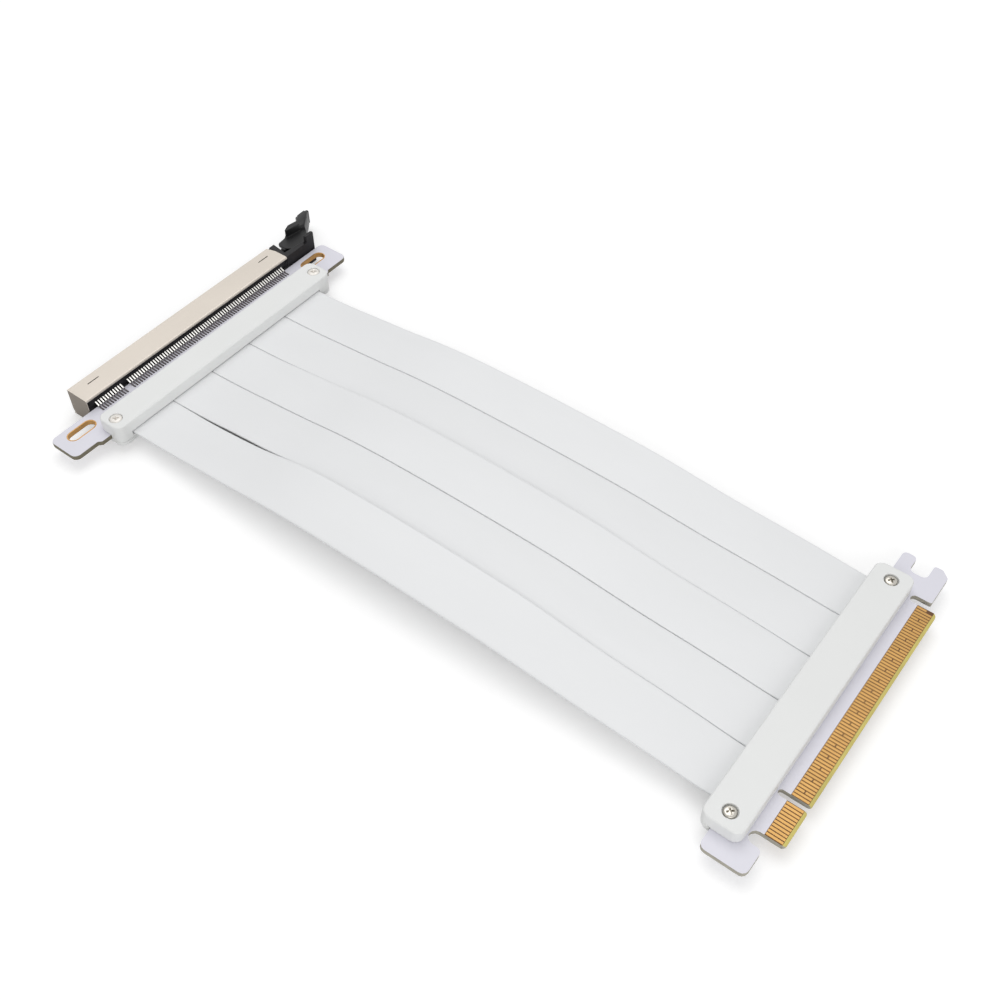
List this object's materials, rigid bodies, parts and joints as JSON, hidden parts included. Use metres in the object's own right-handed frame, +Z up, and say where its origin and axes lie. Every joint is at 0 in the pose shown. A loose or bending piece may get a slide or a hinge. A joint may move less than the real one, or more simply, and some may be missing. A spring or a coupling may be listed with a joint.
{
  "type": "gpu riser cable",
  "caption": "Flat riser cable for a graphics card, with an edge-card plug, white screwed covers, flat ribbons and a steel-clad card slot with a retention latch.",
  "frame": {"origin": "middle of the base of the bounding box, at the height of the slot's steel shell, on which the part lies", "axes": "+X along the cable from the card slot to the plug, +Y across the cable towards the latch, +Z up"},
  "size_m": [0.259, 0.132, 0.0148],
  "materials": {
    "cover_white": "satin",
    "board_white": "satin solder mask",
    "ribbon_white": "smooth",
    "black_plastic": "moulded",
    "nickel": "plated sheet",
    "screw_steel": "plated"
  },
  "bodies": {
    "riser": {"slot_housing": "black_plastic", "slot_shield": "nickel", "socket_board": "board_white", "socket_cover_top": "cover_white", "socket_cover_bottom": "cover_white", "socket_screw_near": "screw_steel", "socket_screw_far": "screw_steel", "ribbon_1": "ribbon_white", "ribbon_2": "ribbon_white", "ribbon_3": "ribbon_white", "ribbon_4": "ribbon_white", "ribbon_5": "ribbon_white", "plug_board": "board_white", "plug_cover_top": "cover_white", "plug_cover_bottom": "cover_white", "plug_screw_near": "screw_steel", "plug_screw_far": "screw_steel"},
    "latch": {"slot_latch": "black_plastic"}
  },
  "joints": [
    {"name": "latch_swing", "type": "hinge", "parent": "riser", "child": "latch", "pos_m": [-0.1192, 0.0497, 0.00488], "axis": [0, 0, -1], "range_deg": [0, 25]}
  ]
}
